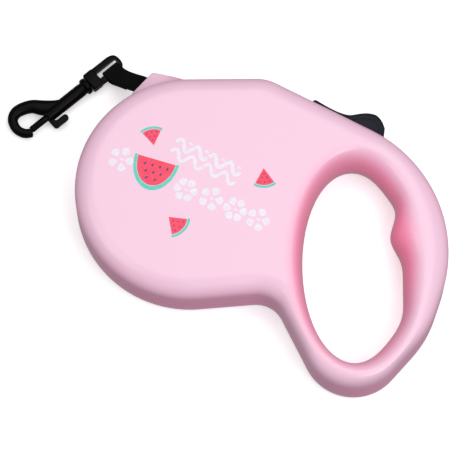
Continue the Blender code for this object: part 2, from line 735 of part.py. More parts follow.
def make_hook(material):
    """Collar, barrel and crown. The bores take the eye's shank, and the bolt with its spring."""
    profile = [(1.8, 20.0), (3.5, 20.0), (4.1, 20.4), (4.1, 22.0), (3.5, 22.5), (3.0, 22.9),
               (3.2, 23.8), (3.2, 45.6), (0.6, 45.6), (0.6, 25.3),
               (2.4, 25.2), (2.4, 23.3), (1.8, 23.3)]
    hook = lay_down(turned("hook_body", [(r * MM, h * MM) for r, h in profile], material, 20))
    combine(hook, [make_crown(material)], "UNION")
    bore = bar("bore", 27.2, 54.4, 2.0, material, 20)
    slot = box("slot", (36.2 * MM, 0.0, -1.6 * MM), (47 * MM, 6 * MM, 1.6 * MM), material)
    combine(hook, [bore, slot], "DIFFERENCE")
    return smooth(place(hook, hook_matrix()))


def make_bolt(material):
    """Sliding bolt with an L-shaped thumb knob."""
    bolt = bar("hook_bolt", 40.0, 54.0, 1.65, material)
    outline = [(43.6, 0.5), (46.0, 0.5), (46.0, 6.4), (45.2, 7.4), (38.2, 7.4), (37.4, 6.6),
               (37.4, 5.0), (38.2, 4.3), (42.8, 4.3), (43.6, 3.6)]
    knob = prism("knob", np.array(outline) * MM, -1.3 * MM, 1.3 * MM, material)
    combine(bolt, [bevelled(knob, 0.3 * MM, 1, 50.0)], "UNION")
    return smooth(place(bolt, hook_matrix()))


def main():
    for item in list(bpy.data.objects):
        bpy.data.objects.remove(item, do_unlink=True)
    pink = finish("pink case", (0.89, 0.52, 0.70), 0.28)
    black = finish("black plastic", (0.012, 0.012, 0.014), 0.35)
    grip_black = finish("brake button plastic", (0.022, 0.023, 0.028), 0.5)
    webbing = finish("black webbing", (0.013, 0.013, 0.015), 0.85)
    white = finish("white reel plastic", (0.75, 0.75, 0.72), 0.45)
    steel = finish("bright steel", (0.56, 0.56, 0.57), 0.3, 1.0)

    make_shell("lower_shell", -1, pink)
    make_shell("upper_shell", 1, pink)
    make_screws(steel)
    make_axle(steel)
    make_washer("lower_washer", 2.9 * MM, 3.3 * MM, steel)
    make_washer("upper_washer", 23.2 * MM, 23.8 * MM, steel)
    make_reel(white)
    make_spring_cover(white)
    make_power_spring(steel)
    make_coil(webbing)
    make_tape(webbing)
    make_loop(webbing)
    make_bush(black)
    make_button(grip_black)
    make_carrier(black)
    make_pawl(white)
    make_pawl_pin(steel)
    shelf = Vector((46 * MM, 40 * MM, MID))
    stand = Matrix.Translation(shelf) @ Matrix.Rotation(-math.pi / 2, 4, "X")
    helix("brake_spring", stand, 2.6 * MM, 0.4 * MM, 14.7 * MM, 4, steel)
    make_eye(black)
    make_hook(black)
    make_bolt(black)
    bore_end = Vector((27.5 * MM, 0, 0))
    seat = hook_matrix() @ Matrix.Translation(bore_end) @ Matrix.Rotation(math.pi / 2, 4, "Y")
    helix("bolt_spring", seat, 1.25 * MM, 0.25 * MM, 12.2 * MM, 6, steel, 8)


main()
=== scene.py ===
import math

import bmesh
import bpy
import numpy as np
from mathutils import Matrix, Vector


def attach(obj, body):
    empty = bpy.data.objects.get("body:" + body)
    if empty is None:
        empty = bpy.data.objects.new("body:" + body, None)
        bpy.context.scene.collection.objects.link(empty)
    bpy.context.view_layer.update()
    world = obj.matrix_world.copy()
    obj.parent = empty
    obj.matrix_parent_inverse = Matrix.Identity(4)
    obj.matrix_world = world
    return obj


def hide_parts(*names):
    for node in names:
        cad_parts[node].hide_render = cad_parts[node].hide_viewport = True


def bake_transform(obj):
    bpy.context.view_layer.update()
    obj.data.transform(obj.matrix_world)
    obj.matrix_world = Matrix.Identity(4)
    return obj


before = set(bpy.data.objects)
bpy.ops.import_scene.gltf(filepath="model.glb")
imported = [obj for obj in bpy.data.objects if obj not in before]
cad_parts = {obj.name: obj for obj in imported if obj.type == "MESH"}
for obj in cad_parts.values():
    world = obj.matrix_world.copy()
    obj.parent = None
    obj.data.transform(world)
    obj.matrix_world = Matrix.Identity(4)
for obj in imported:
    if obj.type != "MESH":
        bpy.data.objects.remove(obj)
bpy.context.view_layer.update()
mm = 0.001
mid = 15.5 * mm      # height of the seam, half the case's thickness

# ---- camera and light

# angles in degrees, distances in metres; width is what the frame takes in at lookAt
view = {
    "lookAt": (0.0216, -0.0059, 0.0155), "azimuth": 27.5, "elevation": 73.0,
    "distance": 1.6, "width": 0.2115,
}
# name, azimuth, elevation, distance, size, watts
lights = (
    ("mirrorPanel", 190.0, 68, 0.95, 0.8, 2.9),
    ("leftPanel", -60, 60, 0.9, 0.5, 1.2),
    ("rightPanel", 78, 55, 0.9, 0.6, 3.6),
)
room = {"colour": (1.0, 0.99, 1.0, 1), "strength": 0.34}


def awayFrom(azimuth, elevation):
    # unit vector from the object to a place at that azimuth and elevation, in degrees
    a, e = math.radians(azimuth), math.radians(elevation)
    return Vector((math.sin(a) * math.cos(e), -math.cos(a) * math.cos(e), math.sin(e)))


def addCamera():
    data = bpy.data.cameras.new("camera")
    data.lens = data.sensor_width * view["distance"] / view["width"]
    camera = bpy.data.objects.new("camera", data)
    bpy.context.collection.objects.link(camera)
    back = awayFrom(view["azimuth"], view["elevation"])
    camera.location = Vector(view["lookAt"]) + back * view["distance"]
    camera.rotation_euler = (-back).to_track_quat("-Z", "Y").to_euler()
    bpy.context.scene.camera = camera


def addLights():
    for name, azimuth, elevation, distance, size, watts in lights:
        data = bpy.data.lights.new(name, "AREA")
        data.shape, data.size, data.energy = "DISK", size, watts
        lamp = bpy.data.objects.new(name, data)
        bpy.context.collection.objects.link(lamp)
        away = awayFrom(azimuth, elevation)
        lamp.location = Vector(view["lookAt"]) + away * distance
        lamp.rotation_euler = (-away).to_track_quat("-Z", "Y").to_euler()
    world = bpy.data.worlds.new("studio")
    world.use_nodes = True
    background = world.node_tree.nodes["Background"].inputs
    background["Color"].default_value = room["colour"]
    background["Strength"].default_value = room["strength"]
    bpy.context.scene.world = world
    bpy.context.scene.view_settings.view_transform = "Standard"


# ---- shader tools


class Sock:
    # a shader socket that takes part in Python sums; each sum adds a Math node
    def __init__(self, paint, socket):
        self.paint, self.socket = paint, socket

    def maths(self, operation, first, second):
        return self.paint.node("ShaderNodeMath", {"operation": operation}, {0: first, 1: second})

    def __add__(self, other):
        return self.maths("ADD", self, other)

    def __radd__(self, other):
        return self.maths("ADD", other, self)

    def __sub__(self, other):
        return self.maths("SUBTRACT", self, other)

    def __rsub__(self, other):
        return self.maths("SUBTRACT", other, self)

    def __mul__(self, other):
        return self.maths("MULTIPLY", self, other)

    def __rmul__(self, other):
        return self.maths("MULTIPLY", other, self)


class Paint:
    # one material; node() adds any node: its settings first, then the values or links of its sockets
    def __init__(self, name, slot=None):
        self.material = bpy.data.materials.new(name)
        self.material.use_nodes = True
        self.tree = self.material.node_tree
        self.tree.nodes.clear()
        self.slot = slot

    def node(self, kind, settings=None, sockets=None, out=0):
        item = self.tree.nodes.new(kind)
        for key, value in (settings or {}).items():
            setattr(item, key, value)
        for key, value in (sockets or {}).items():
            if isinstance(value, Sock):
                self.tree.links.new(value.socket, item.inputs[key])
            else:
                item.inputs[key].default_value = value
        return Sock(self, item.outputs[out]) if item.outputs else None

    def place(self):
        return self.node("ShaderNodeTexCoord", out="Object")

    def noise(self, scale, detail, stretch=None):
        # noise on Object coordinates; stretch scales the three axes before it
        place = self.place()
        if stretch:
            place = self.node("ShaderNodeMapping", None, {"Vector": place, "Scale": stretch})
        return self.node("ShaderNodeTexNoise", None, {"Vector": place, "Scale": scale, "Detail": detail})

    def mixed(self, factor, first, second):
        # two colours mixed by factor; sockets 6 and 7 are the Mix node's colours
        values = {"Factor": factor, 6: (*first, 1) if isinstance(first, tuple) else first,
                  7: (*second, 1) if isinstance(second, tuple) else second}
        return self.node("ShaderNodeMix", {"data_type": "RGBA"}, values, out=2)

    def rise(self, value, low, high):
        # 0 below low, 1 above high, smooth between
        return self.node("ShaderNodeMapRange", {"interpolation_type": "SMOOTHSTEP"},
                         {"Value": value, "From Min": low, "From Max": high})

    def finish(self, colour, roughness, height=None, depth=0.0, **fixed):
        # Principled shader; height is a Bump height from 0 to 1 over depth metres
        sockets = {"Base Color": colour, "Roughness": roughness}
        if height is not None:
            sockets["Normal"] = self.node("ShaderNodeBump", None, {"Height": height, "Distance": depth})
        for key, value in fixed.items():
            sockets[key.replace("_", " ")] = value
        shader = self.node("ShaderNodeBsdfPrincipled", None, sockets)
        self.node("ShaderNodeOutputMaterial", None, {"Surface": shader})
        return self


def rgb(red, green, blue):
    # display colour from 0 to 255 as linear light
    part = np.array([red, green, blue]) / 255.0
    linear = np.where(part < 0.04045, part / 12.92, ((part + 0.055) / 1.055) ** 2.4)
    return tuple(float(v) for v in linear)


# ---- finishes


# one pink plastic: face is its lit colour; the wall colour and the hand opening's colour are darker, deeper
# copies of it, painted shade
pinkWithPaintedShade = {"wall": (0.93, 0.32, 0.55), "face": (0.87, 0.56, 0.71), "grip": (1.0, 0.27, 0.45)}


def pinkCase():
    # walls are painted a deeper, darker pink than faces and mouth, as painted shade, and the hand opening is
    # painted deepest, as painted shade in the recess
    paint = Paint("pinkCase", "case")
    drift = paint.noise(14.0, 1.0)
    height = paint.node("ShaderNodeSeparateXYZ", None, {0: paint.place()}, out=2)
    offMiddle = paint.node("ShaderNodeMath", {"operation": "ABSOLUTE"}, {0: height - mid})
    # 1 on the lit faces, 0 on the walls that take the painted shade
    flat = paint.rise(offMiddle + drift * 0.002, 0.005, 0.0165)
    fromMouth = paint.node("ShaderNodeVectorMath", {"operation": "DISTANCE"},
                           {0: paint.place(), 1: (*mouth["at"], mid)}, out=1)
    # round the mouth the lit face colour, without painted shade
    byMouth = 1.0 - paint.rise(fromMouth, 0.012, 0.024)
    flat = paint.node("ShaderNodeMath", {"operation": "MAXIMUM"}, {0: flat, 1: byMouth})
    colour = paint.mixed(flat, pinkWithPaintedShade["wall"], pinkWithPaintedShade["face"])
    centre = (*case["gripCentre"], 0.0)
    turned = (0.0, 0.0, -math.atan2(case["gripShort"][1], case["gripShort"][0]))
    shape = (1 / case["rimHalfWidth"], 1 / case["rimHalfLength"], 0.0)
    onGrip = paint.node("ShaderNodeVectorMath", {"operation": "SUBTRACT"}, {0: paint.place(), 1: centre})
    onGrip = paint.node("ShaderNodeVectorRotate", {"rotation_type": "EULER_XYZ"},
                        {"Vector": onGrip, "Rotation": turned})
    onGrip = paint.node("ShaderNodeVectorMath", {"operation": "MULTIPLY"}, {0: onGrip, 1: shape})
    reach = paint.node("ShaderNodeVectorMath", {"operation": "LENGTH"}, {0: onGrip}, out=1)
    # the hand opening and its rim painted deepest: painted shade in the recess
    colour = paint.mixed(1.0 - paint.rise(reach, 0.72, 1.06), colour, pinkWithPaintedShade["grip"])
    grain = paint.noise(900.0, 2.0)
    smear = paint.noise(60.0, 3.0)
    roughness = 0.29 + smear * 0.08
    return paint.finish(colour, roughness, grain, 0.00001, Coat_Weight=0.4, Coat_Roughness=0.2)


def blackPlastic():
    paint = Paint("blackPlastic", "black_plastic")
    grain = paint.noise(2600.0, 3.0)
    smear = paint.noise(160.0, 3.0)
    worn = paint.rise(paint.noise(420.0, 4.0), 0.62, 0.74)
    colour = paint.mixed(worn * 0.5, rgb(2, 2, 3), rgb(13, 13, 15))
    return paint.finish(colour, 0.22 + smear * 0.14, grain, 0.00002, Specular_IOR_Level=0.07)


def buttonPlastic():
    paint = Paint("buttonPlastic", "button")
    grain = paint.noise(3800.0, 2.0)
    smear = paint.noise(120.0, 3.0)
    colour = paint.mixed(smear, rgb(26, 28, 35), rgb(36, 39, 48))
    return paint.finish(colour, 0.5 + smear * 0.12, grain, 0.00005, Specular_IOR_Level=0.12)


weave = {"warpStep": 0.62, "weftStep": 0.8, "slant": 0.9}      # thread steps in mm


def webbing():
    # plain weave with a diagonal set, on the tape's own map in millimetres: u along it, v across it;
    # a sine for each set of threads
    paint = Paint("webbing", "webbing")
    uv = paint.node("ShaderNodeUVMap", {"uv_map": "tapeMap"})
    parts = paint.node("ShaderNodeSeparateXYZ", None, {0: uv})
    across = Sock(paint, parts.socket.node.outputs[1])
    warp = paint.node("ShaderNodeMath", {"operation": "SINE"},
                      {0: across * (2 * math.pi / weave["warpStep"])})
    slant = parts + across * weave["slant"]
    weft = paint.node("ShaderNodeMath", {"operation": "SINE"}, {0: slant * (2 * math.pi / weave["weftStep"])})
    height = 0.5 + warp * 0.22 + weft * 0.28
    fuzz = paint.noise(5200.0, 2.0)
    # the weave's dips are painted darker and the threads' tops lighter: painted shade following the weave's
    # height
    colour = paint.mixed(paint.rise(height, 0.2, 0.95), rgb(2, 2, 3), rgb(14, 14, 17))
    return paint.finish(colour, 0.78 - height * 0.2, height * 0.85 + fuzz * 0.15, 0.00012,
                        Sheen_Weight=0.02, Specular_IOR_Level=0.06)


def reelPlastic():
    paint = Paint("reelPlastic", "reel")
    smear = paint.noise(90.0, 3.0)
    colour = paint.mixed(smear, rgb(214, 214, 208), rgb(228, 227, 220))
    return paint.finish(colour, 0.42 + smear * 0.14, paint.noise(2400.0, 2.0), 0.00001)


def brightSteel():
    paint = Paint("brightSteel", "steel")
    drawn = paint.noise(1500.0, 3.0, (1.0, 1.0, 0.06))
    spots = paint.rise(paint.noise(700.0, 4.0), 0.6, 0.75)
    colour = paint.mixed(spots * 0.5, rgb(190, 191, 194), rgb(150, 150, 150))
    return paint.finish(colour, 0.24 + drawn * 0.2, drawn, 0.00001, Metallic=1.0)


def ink(name, light, dark):
    # printed ink: slightly uneven cover, a little duller than the case
    paint = Paint(name, "case")
    cover = paint.noise(700.0, 3.0)
    colour = paint.mixed(paint.rise(cover, 0.35, 0.7), light, dark)
    return paint.finish(colour, 0.36 + cover * 0.1, cover, 0.00001)


def floorFinish():
    paint = Paint("paleFloor")
    soft = paint.noise(3.0, 1.0)
    colour = paint.mixed(soft, (0.94, 0.94, 0.94), (0.96, 0.96, 0.96))
    return paint.finish(colour, 0.9 + soft * 0.05, Emission_Color=(1.0, 1.0, 1.0, 1), Emission_Strength=0.4)


# ---- mesh tools


def gridFaces(rows, cols, wrapRows):
    # one quad for each cell of a grid of points numbered row by row; each row is a closed ring
    r, c = np.meshgrid(np.arange(rows if wrapRows else rows - 1), np.arange(cols), indexing="ij")
    here, above, nextC = r * cols, (r + 1) % rows * cols, (c + 1) % cols
    return np.stack([here + c, here + nextC, above + nextC, above + c], axis=-1).reshape(-1, 4)


def surface(name, grids, paint, wrapRows=False, crease=35.0, mapped=None):
    # closed bodies from grids of points (rows, cols, 3): the rows are rings, and either the last row
    # joins the first or both get a flat cap; mapped holds the map's (u, v) of each point
    points, faces, start = [], [], 0
    for grid in grids:
        rows, cols = grid.shape[:2]
        faces += (gridFaces(rows, cols, wrapRows) + start).tolist()
        if not wrapRows:
            faces.append((np.arange(cols)[::-1] + start).tolist())
            faces.append((np.arange(cols) + start + (rows - 1) * cols).tolist())
        points.append(grid.reshape(-1, 3))
        start += rows * cols
    mesh = bpy.data.meshes.new(name)
    mesh.from_pydata(np.concatenate(points).tolist(), [], faces)
    piece = bpy.data.objects.new(name, mesh)
    bpy.context.collection.objects.link(piece)
    if mapped is not None:
        layer = mesh.uv_layers.new(name="tapeMap")
        corner = np.empty(len(mesh.loops), dtype=np.int32)
        mesh.loops.foreach_get("vertex_index", corner)
        layer.data.foreach_set("uv", mapped[corner].astype(np.float32).ravel())
    tidy(piece, crease)
    mesh.materials.append(paint.material)
    return piece


def tidy(piece, crease=35.0):
    # doubles merged, faces outwards, smooth shading with sharp edges past the crease angle
    work = bmesh.new()
    work.from_mesh(piece.data)
    bmesh.ops.remove_doubles(work, verts=work.verts, dist=0.000001)
    bmesh.ops.dissolve_degenerate(work, edges=work.edges, dist=0.0000005)
    bmesh.ops.recalc_face_normals(work, faces=work.faces)
    work.to_mesh(piece.data)
    work.free()
    piece.data.polygons.foreach_set("use_smooth", np.ones(len(piece.data.polygons), dtype=bool))
    piece.data.set_sharp_from_angle(angle=math.radians(crease))


def carve(piece, tools):
    # each tool cut away by a Boolean, baked into the mesh
    for tool in tools:
        change = piece.modifiers.new("cut", "BOOLEAN")
        change.operation, change.solver, change.object = "DIFFERENCE", "EXACT", tool
        bpy.context.view_layer.update()
        result = piece.evaluated_get(bpy.context.evaluated_depsgraph_get())
        mesh = bpy.data.meshes.new_from_object(result)
        piece.modifiers.clear()
        piece.data = mesh
        tidy(piece)
    return piece


def drop(tools):
    for tool in tools:
        bpy.data.objects.remove(tool)


def unit(vectors):
    return vectors / np.linalg.norm(vectors, axis=-1, keepdims=True)


def ease(share):
    # smooth step from 0 to 1
    share = np.clip(share, 0.0, 1.0)
    return share * share * (3 - 2 * share)


def smoothCurve(points, count):
    # uniform Catmull-Rom curve through the points
    points = np.asarray(points, dtype=float)
    ends = np.vstack([2 * points[0] - points[1], points, 2 * points[-1] - points[-2]])
    along = np.linspace(0.0, len(points) - 1, count)
    piece = np.minimum(along.astype(int), len(points) - 2)
    t = (along - piece)[:, None]
    a, b, c, d = (ends[piece + k] for k in range(4))
    return 0.5 * (2 * b + (c - a) * t + (2 * a - 5 * b + 4 * c - d) * t**2 + (3 * b - a - 3 * c + d) * t**3)


def evenly(points, count, closed=False):
    # points moved to even spacing along the same line
    if closed:
        points = np.vstack([points, points[:1]])
    run = np.r_[0.0, np.cumsum(np.linalg.norm(np.diff(points, axis=0), axis=1))]
    wanted = np.linspace(0.0, run[-1], count + 1)[:-1] if closed else np.linspace(0.0, run[-1], count)
    return np.column_stack([np.interp(wanted, run, points[:, k]) for k in range(points.shape[1])])


def roundTurn(profile, sides):
    # profile of (radius, height) turned round Z
    a = 2 * math.pi * np.arange(sides) / sides
    profile = np.asarray(profile, dtype=float)
    r, z = profile[:, 0, None], profile[:, 1, None]
    return np.stack([r * np.cos(a), r * np.sin(a), z + 0 * a], axis=-1)


def softened(profile, radius, steps):
    # every corner of a closed outline replaced by a curve that leaves it radius away on each side
    profile = np.asarray(profile, dtype=float)
    before, after = np.roll(profile, 1, axis=0), np.roll(profile, -1, axis=0)
    back, on = before - profile, after - profile
    lengths = [np.linalg.norm(v, axis=1, keepdims=True) for v in (back, on)]
    starts = profile + back / lengths[0] * np.minimum(radius, 0.45 * lengths[0])
    stops = profile + on / lengths[1] * np.minimum(radius, 0.45 * lengths[1])
    t = np.linspace(0.0, 1.0, steps + 1)[None, :, None]
    bend = (1 - t) ** 2 * starts[:, None] + 2 * t * (1 - t) * profile[:, None] + t**2 * stops[:, None]
    return bend.reshape(-1, profile.shape[1])


def inset(outline, distance):
    # closed anticlockwise outline moved inwards along its normals
    along = unit(np.roll(outline, -1, axis=0) - np.roll(outline, 1, axis=0))
    return outline + distance * np.column_stack([-along[:, 1], along[:, 0]])


def slab(outline, low, high, edge, steps):
    # outline in plan between two heights, both rims rounded by a quarter circle of radius edge
    turn = np.linspace(0.0, math.pi / 2, steps + 1)
    rows = [(edge * (1 - math.sin(a)), low + edge * (1 - math.cos(a))) for a in turn]
    rows += [(edge * (1 - math.sin(a)), high - edge * (1 - math.cos(a))) for a in turn[::-1]]
    return np.array([np.column_stack([inset(outline, away), np.full(len(outline), z)]) for away, z in rows])


def sweep(centre, side, up, halfWide, halfTall, sides, power=2.0):
    # superellipse section carried along a line: side and up are its axes at each point, and
    # cosine and sine go to the power 2 / power
    a = 2 * math.pi * np.arange(sides) / sides
    c, s = np.cos(a), np.sin(a)
    x = np.sign(c) * np.abs(c) ** (2 / power)
    y = np.sign(s) * np.abs(s) ** (2 / power)
    wide, tall = np.broadcast_to(halfWide, len(centre)), np.broadcast_to(halfTall, len(centre))
    return (centre[:, None] + (wide[:, None] * x)[..., None] * side[:, None]
            + (tall[:, None] * y)[..., None] * up[:, None])


# ---- case

case = {
    "circles": np.array([(0.0, 0.0, 54.0), (57.5, -43.5, -13.5), (101.0, -29.0, 23.9), (78.0, -7.5, 51.5),
                         (62.0, -1.5, 66.4), (12.0, 44.9, 20.0)]) * mm,
    "halfThick": 15.5 * mm, "fillet": 7.0 * mm, "filletIn": 9.5 * mm, "wall": 2.2 * mm,
    "seam": 0.15 * mm, "stations": 520, "tongueStations": 260,
    "gripCentre": np.array([84.1, 3.4]) * mm, "gripLong": np.array([-0.4617, 0.8870]),
    "gripShort": np.array([0.8870, 0.4617]), "gripHalfLength": 47.5 * mm, "gripHalfWidth": 23.5 * mm,
    "rimHalfLength": 55.0 * mm, "rimHalfWidth": 32.0 * mm, "rimShift": 2.5 * mm,
    "swellings": ((13.2, 8.5, -4.6), (-26.0, 12.0, 2.6), (29.0, 6.5, 1.4)),   # place, spread, height in mm
    "tongue": ((0.7, -0.9), (1.6, -0.9), (1.6, 0.9), (0.7, 0.9)),       # depth, height off the seam in mm
    "screws": np.array([(12.0, 57.0), (54.0, -22.0), (76.5, 56.5), (99.0, 43.5), (121.0, -18.0)]) * mm,
    "screwWell": ((3.1, -2.0), (3.1, 7.5)),      # radius, height in mm
    "screwBoss": ((3.12, 1.6), (4.4, 1.8), (4.4, 15.2), (1.7, 15.2), (1.7, 7.5), (3.12, 7.5)),
    "buttonSlot": ((27.4, 60.0, -7.5), (69.2, 67.0, 7.5)),      # corners, height off the seam
}
mouth = {
    "at": np.array([-45.1, 37.7]) * mm, "heading": math.radians(186.0), "halfWidth": 4.8 * mm,
    "halfHeight": 1.2 * mm, "reach": (-9 * mm, 6 * mm), "chamberHeading": math.radians(190.0),
    "chamber": ((-16.0, -5.2, -5.4), (-8.6, 5.2, 5.4)),        # corners, height off the seam
    "lipHalfHeight": (5.0 * mm, 8.0 * mm), "rootAngles": (118.3, 149.4),
    "lip": np.array([(-28.6, 47.7), (-33.6, 46.7), (-39.2, 45.3), (-42.3, 44.4), (-43.4, 43.75),
                     (-46.75, 30.9)]) * mm,
}


def caseOutline():
    # belt round signed circles: each tangent leans by asin of the change of radius over the distance
    circles = case["circles"]
    gap = np.roll(circles, -1, axis=0) - circles
    headings = np.arctan2(gap[:, 1], gap[:, 0]) + np.arcsin(-gap[:, 2] / np.hypot(gap[:, 0], gap[:, 1]))
    points, normals = [], []
    for k, (x, y, radius) in enumerate(circles):
        turn = math.copysign(1.0, radius)
        sweepAngle = turn * ((headings[k] - headings[k - 1]) * turn % (2 * math.pi))
        a = headings[k - 1] + np.linspace(0.0, sweepAngle, max(3, int(abs(math.degrees(sweepAngle)))))
        normal = np.column_stack([-np.sin(a), np.cos(a)])
        points.append(np.array([x, y]) - radius * normal)
        normals.append(normal)
    return np.concatenate(points), np.concatenate(normals)


def gripLine(angle, rim):
    # the hand opening: at mid thickness an ellipse with a bell-curve swelling at each place on its
    # finger side, and at its rim a wider plain ellipse
    if rim:
        along = -case["rimHalfLength"] * np.cos(angle)
        across = case["rimShift"] + case["rimHalfWidth"] * np.sin(angle)
    else:
        along = -case["gripHalfLength"] * np.cos(angle)
        across = case["gripHalfWidth"] * np.sin(angle)
        for at, spread, height in case["swellings"]:
            bell = np.exp(-((along / mm - at) / spread) ** 2)
            across = across + np.clip(np.sin(angle) * 2.5, 0, 1) * height * mm * bell
    return case["gripCentre"] + along[:, None] * case["gripLong"] + across[:, None] * case["gripShort"]


def caseStations(count):
    # matching points round outline and opening: nearest round the ring, a linear fan over the reel,
    # closer together where the lines turn and on the mouth's lip
    points, normals = caseOutline()
    closed, closedNormals = np.vstack([points, points[:1]]), np.vstack([normals, normals[:1]])
    lengths = np.r_[0.0, np.cumsum(np.linalg.norm(np.diff(closed, axis=0), axis=1))]
    total = lengths[-1]

    def outlineAt(run, table=closed):
        return np.column_stack([np.interp(np.mod(run, total), lengths, table[:, k]) for k in range(2)])

    fine = np.linspace(0.0, total, 6401)[:-1]
    ringAngles = np.radians(np.arange(-104.0, 203.0, 2.0))
    away = np.linalg.norm(gripLine(ringAngles, True)[:, None] - outlineAt(fine)[None], axis=2)
    places = np.unwrap(fine[np.argmin(away, axis=1)], period=total)
    places = np.r_[places, places[0] + total]
    fanAngles = np.r_[ringAngles, ringAngles[0] + 2 * math.pi]
    run = places[0] + np.linspace(0.0, total, 6401)
    outline, opening = outlineAt(run), gripLine(np.interp(run, places, fanAngles), False)
    turning = sum(np.abs(np.diff(np.unwrap(np.arctan2(*np.gradient(line, axis=0).T))))
                  for line in (outline, opening))
    polar = np.degrees(np.arctan2(outline[1:, 1], outline[1:, 0]))
    onLip = (polar > mouth["rootAngles"][0]) & (polar < mouth["rootAngles"][1])
    measure = np.r_[0.0, np.cumsum((2.0 + 5.0 * onLip) / 6400 + turning / 6.3)]
    chosen = np.interp(np.linspace(0.0, measure[-1], count + 1)[:-1], measure, run)
    angle = np.interp(chosen, places, fanAngles)
    inward = unit(outlineAt(chosen, closedNormals))
    return outlineAt(chosen), inward, gripLine(angle, False), gripLine(angle, True)


def withLip(outer):
    # outline points of the drum between the lip's roots, moved out onto the lip by share of its
    # length; a running mean rounds the lip's corners
    polar = np.degrees(np.arctan2(outer[:, 1], outer[:, 0]))
    first, last = mouth["rootAngles"]
    drum = case["circles"][0, 2]
    roots = [drum * np.array([math.cos(math.radians(a)), math.sin(math.radians(a))]) for a in (first, last)]
    line = evenly(np.vstack([roots[0], mouth["lip"], roots[1]]), 400)
    padded = np.vstack([np.repeat(line[:1], 6, axis=0), line, np.repeat(line[-1:], 6, axis=0)])
    line = sum(padded[k:k + len(line)] for k in range(13)) / 13
    share = (polar - first) / (last - first)
    on = (share > 0) & (share < 1) & (np.hypot(outer[:, 0], outer[:, 1]) < drum * 1.01)
    moved = outer.copy()
    place = np.linspace(0, 1, len(line))
    moved[on] = np.column_stack([np.interp(share[on], place, line[:, k]) for k in range(2)])
    return moved


def caseRows(stations, shrink, upright, over, down, lip):
    # plan points and heights over the mid plane: up the outer wall, round the fillet, over the flat
    # face, and down a quarter ellipse to the seam in the hand opening
    outer, inward, wall, rim = stations
    start = case["seam"]
    fillet = np.minimum(case["filletIn"], 0.92 * np.linalg.norm(rim - outer, axis=1, keepdims=True))
    wall = wall + shrink * unit(rim - wall)
    shoulder, top = case["halfThick"] - case["fillet"], case["halfThick"] - shrink
    bulge = (withLip(outer) - outer) if lip else 0 * outer
    low, high = mouth["lipHalfHeight"]
    rows = []
    for height in np.linspace(start, shoulder, upright + 1)[:-1]:
        rows.append((outer + shrink * inward + bulge * (1 - ease((height - low) / (high - low))), height))
    for a in np.linspace(0.0, math.pi / 2, over + 1):
        offset = fillet - (fillet - shrink) * math.cos(a)
        rows.append((outer + offset * inward, shoulder + (case["fillet"] - shrink) * math.sin(a)))
    edge = outer + fillet * inward
    for share in (0.03, 0.2, 0.5, 0.8, 0.97):
        rows.append((edge + (rim - edge) * share, top))
    for a in np.linspace(math.pi / 2, 0.0, down + 1):
        rows.append((wall + (rim - wall) * (1 - math.cos(a)), start + (top - start) * math.sin(a)))
    return rows


def makeShell(name, side, paint, tools):
    # one half of the case: an outer skin and an inner skin that meet in two narrow seam faces
    stations = caseStations(case["stations"])
    outside = caseRows(stations, 0.0, 16, 12, 22, True)
    inside = caseRows(stations, case["wall"], 2, 5, 8, False)
    grid = np.array([np.column_stack([plan, np.full(len(plan), mid + side * height)])
                     for plan, height in outside + inside[::-1]])
    shell = surface(name, [grid], paint, wrapRows=True)
    return carve(shell, tools)


def plainBox(name, low, high, turned=0.0, about=(0.0, 0.0)):
    # cutting tool: a box between two corners, turned in plan and then moved to a point
    corners = np.array([(low[0], low[1]), (high[0], low[1]), (high[0], high[1]), (low[0], high[1])])
    c, s = math.cos(turned), math.sin(turned)
    plan = corners @ np.array([[c, s], [-s, c]]) + np.asarray(about)
    grid = np.array([np.column_stack([plan, np.full(4, z)]) for z in (low[2], high[2])])
    return surface(name, [grid], blackPaint)


def caseTools():
    # what is cut from both shells: mouth, chamber behind it, button slot, and the screws' wells
    w, h = mouth["halfWidth"], mouth["halfHeight"]
    back, front = mouth["reach"]
    slot = plainBox("mouthSlot", (back, -w, mid - h), (front, w, mid + h), mouth["heading"], mouth["at"])
    offSeam = np.array([0.0, 0.0, mid])
    low, high = np.array(mouth["chamber"]) * mm + offSeam
    chamber = plainBox("chamber", low, high, mouth["chamberHeading"], mouth["at"])
    low, high = np.array(case["buttonSlot"]) * mm + offSeam
    buttonSlot = plainBox("buttonSlot", low, high)
    wells = [roundTurn(np.array(case["screwWell"]) * mm, 32) + np.array([x, y, 0.0])
             for x, y in case["screws"]]
    return [slot, chamber, buttonSlot], [surface("screwWells", wells, blackPaint)]


def makeSeamLip(paint, tools):
    # thin tongue inside the seam, all round the outline and round the hand opening
    outer, inward, wall, rim = caseStations(case["tongueStations"])
    grids = []
    for line, across in ((outer, inward), (wall, unit(rim - wall))):
        grids.append(np.stack([np.column_stack([line + d * mm * across, np.full(len(line), mid + z * mm)])
                               for d, z in case["tongue"]], axis=0))
    return carve(surface("seamLip", grids, paint, wrapRows=True), tools)


def makeScrewBosses(paint):
    # tubes in the lower shell that hold the screw heads
    tube = roundTurn(np.array(case["screwBoss"]) * mm, 32)
    grids = [tube + np.array([x, y, 0.0]) for x, y in case["screws"]]
    return surface("screwBosses", grids, paint, wrapRows=True, crease=30)


# ---- print on the case

